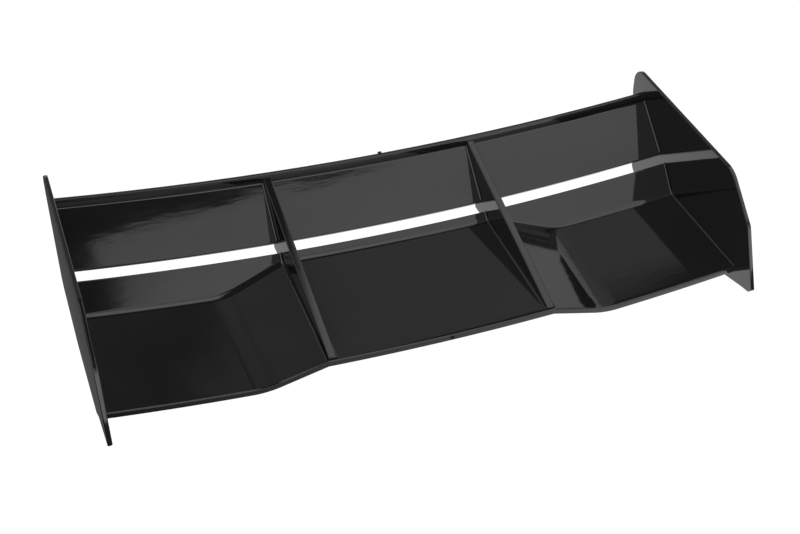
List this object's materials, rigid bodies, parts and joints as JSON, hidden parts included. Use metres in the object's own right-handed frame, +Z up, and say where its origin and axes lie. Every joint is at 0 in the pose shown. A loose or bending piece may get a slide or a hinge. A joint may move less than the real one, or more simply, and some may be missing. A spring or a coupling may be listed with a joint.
{
  "type": "racing rear wing",
  "caption": "Slotted rear wing with upturned deck, flap, two fences and end plates, one glossy black moulding for a radio-controlled buggy.",
  "frame": {"origin": "centre of the bounding box's base, at mid-span, on the surface the end plates stand on", "axes": "+X across the span, to the right seen from the front; +Y from the leading edge to the trailing edge; +Z up"},
  "size_m": [0.19, 0.0786, 0.0403],
  "materials": {
    "black_nylon": "gloss, injection moulded"
  },
  "bodies": {
    "root": {"deck_centre": "black_nylon", "deck_left": "black_nylon", "deck_right": "black_nylon", "ramp_left": "black_nylon", "ramp_right": "black_nylon", "kick_centre": "black_nylon", "kick_left": "black_nylon", "kick_right": "black_nylon", "nose_centre": "black_nylon", "nose_left": "black_nylon", "nose_right": "black_nylon", "flap_centre": "black_nylon", "flap_left": "black_nylon", "flap_right": "black_nylon", "trailing_lip": "black_nylon", "fence_left": "black_nylon", "fence_right": "black_nylon", "end_plate_left": "black_nylon", "end_plate_right": "black_nylon"}
  },
  "joints": []
}
